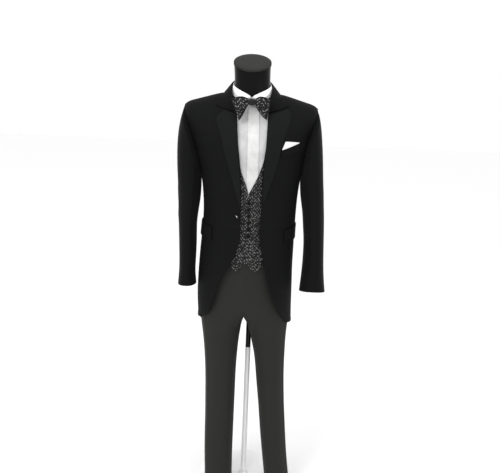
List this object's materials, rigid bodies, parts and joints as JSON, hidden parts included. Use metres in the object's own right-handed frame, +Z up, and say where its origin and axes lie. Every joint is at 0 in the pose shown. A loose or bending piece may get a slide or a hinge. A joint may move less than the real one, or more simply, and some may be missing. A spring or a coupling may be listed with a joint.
{
  "type": "morning suit on a dress form",
  "caption": "Morning suit with cutaway tailcoat, waistcoat, trousers, shirt front and bow tie, on a limbless dress form with a round-based stand.",
  "frame": {"origin": "on the floor at the middle of the stand's round base, under the axis of its pole", "axes": "+Z up; the front of the suit faces -Y; the wearer's right is -X"},
  "size_m": [0.528, 0.3365, 1.6176],
  "materials": {
    "coat_wool": "near-black fine wool twill",
    "waistcoat_silk": "black silk with a fine silver-grey zigzag",
    "waistcoat_lining": "plain black satin",
    "trouser_wool": "charcoal wool with a faint stripe",
    "shirt_cotton": "white cotton",
    "pocket_linen": "white linen",
    "bow_black": "black satin",
    "button_black": "satin black",
    "form_gloss": "gloss black",
    "cap_grey": "dark grey matt",
    "stand_steel": "polished",
    "stand_base": "pale satin"
  },
  "bodies": {
    "root": {"form_torso": "form_gloss", "form_neck_cap": "cap_grey", "coat_forepart_r": "coat_wool", "coat_side_r": "coat_wool", "coat_back_r": "coat_wool", "coat_skirt_r": "coat_wool", "coat_forepart_l": "coat_wool", "coat_side_l": "coat_wool", "coat_back_l": "coat_wool", "coat_skirt_l": "coat_wool", "coat_topsleeve_r": "coat_wool", "coat_undersleeve_r": "coat_wool", "coat_topsleeve_l": "coat_wool", "coat_undersleeve_l": "coat_wool", "coat_lapel_r": "coat_wool", "coat_lapel_l": "coat_wool", "coat_collar": "coat_wool", "coat_flap_r": "coat_wool", "coat_flap_l": "coat_wool", "coat_breast_welt": "coat_wool", "pocket_square": "pocket_linen", "coat_button": "button_black", "waistcoat_front_r": "waistcoat_silk", "waistcoat_front_l": "waistcoat_silk", "waistcoat_back": "waistcoat_lining", "waistcoat_button_1": "button_black", "waistcoat_button_2": "button_black", "waistcoat_button_3": "button_black", "waistcoat_button_4": "button_black", "waistcoat_button_5": "button_black", "waistcoat_button_6": "button_black", "trouser_front_r": "trouser_wool", "trouser_back_r": "trouser_wool", "trouser_front_l": "trouser_wool", "trouser_back_l": "trouser_wool", "trouser_waistband": "trouser_wool", "shirt_collar_band": "shirt_cotton", "shirt_bib": "shirt_cotton", "shirt_placket": "shirt_cotton", "shirt_wing_r": "shirt_cotton", "shirt_wing_l": "shirt_cotton", "bow_wing_r": "waistcoat_silk", "bow_wing_l": "waistcoat_silk", "bow_knot": "bow_black", "stand_base": "stand_base", "stand_pole": "stand_steel"}
  },
  "joints": []
}
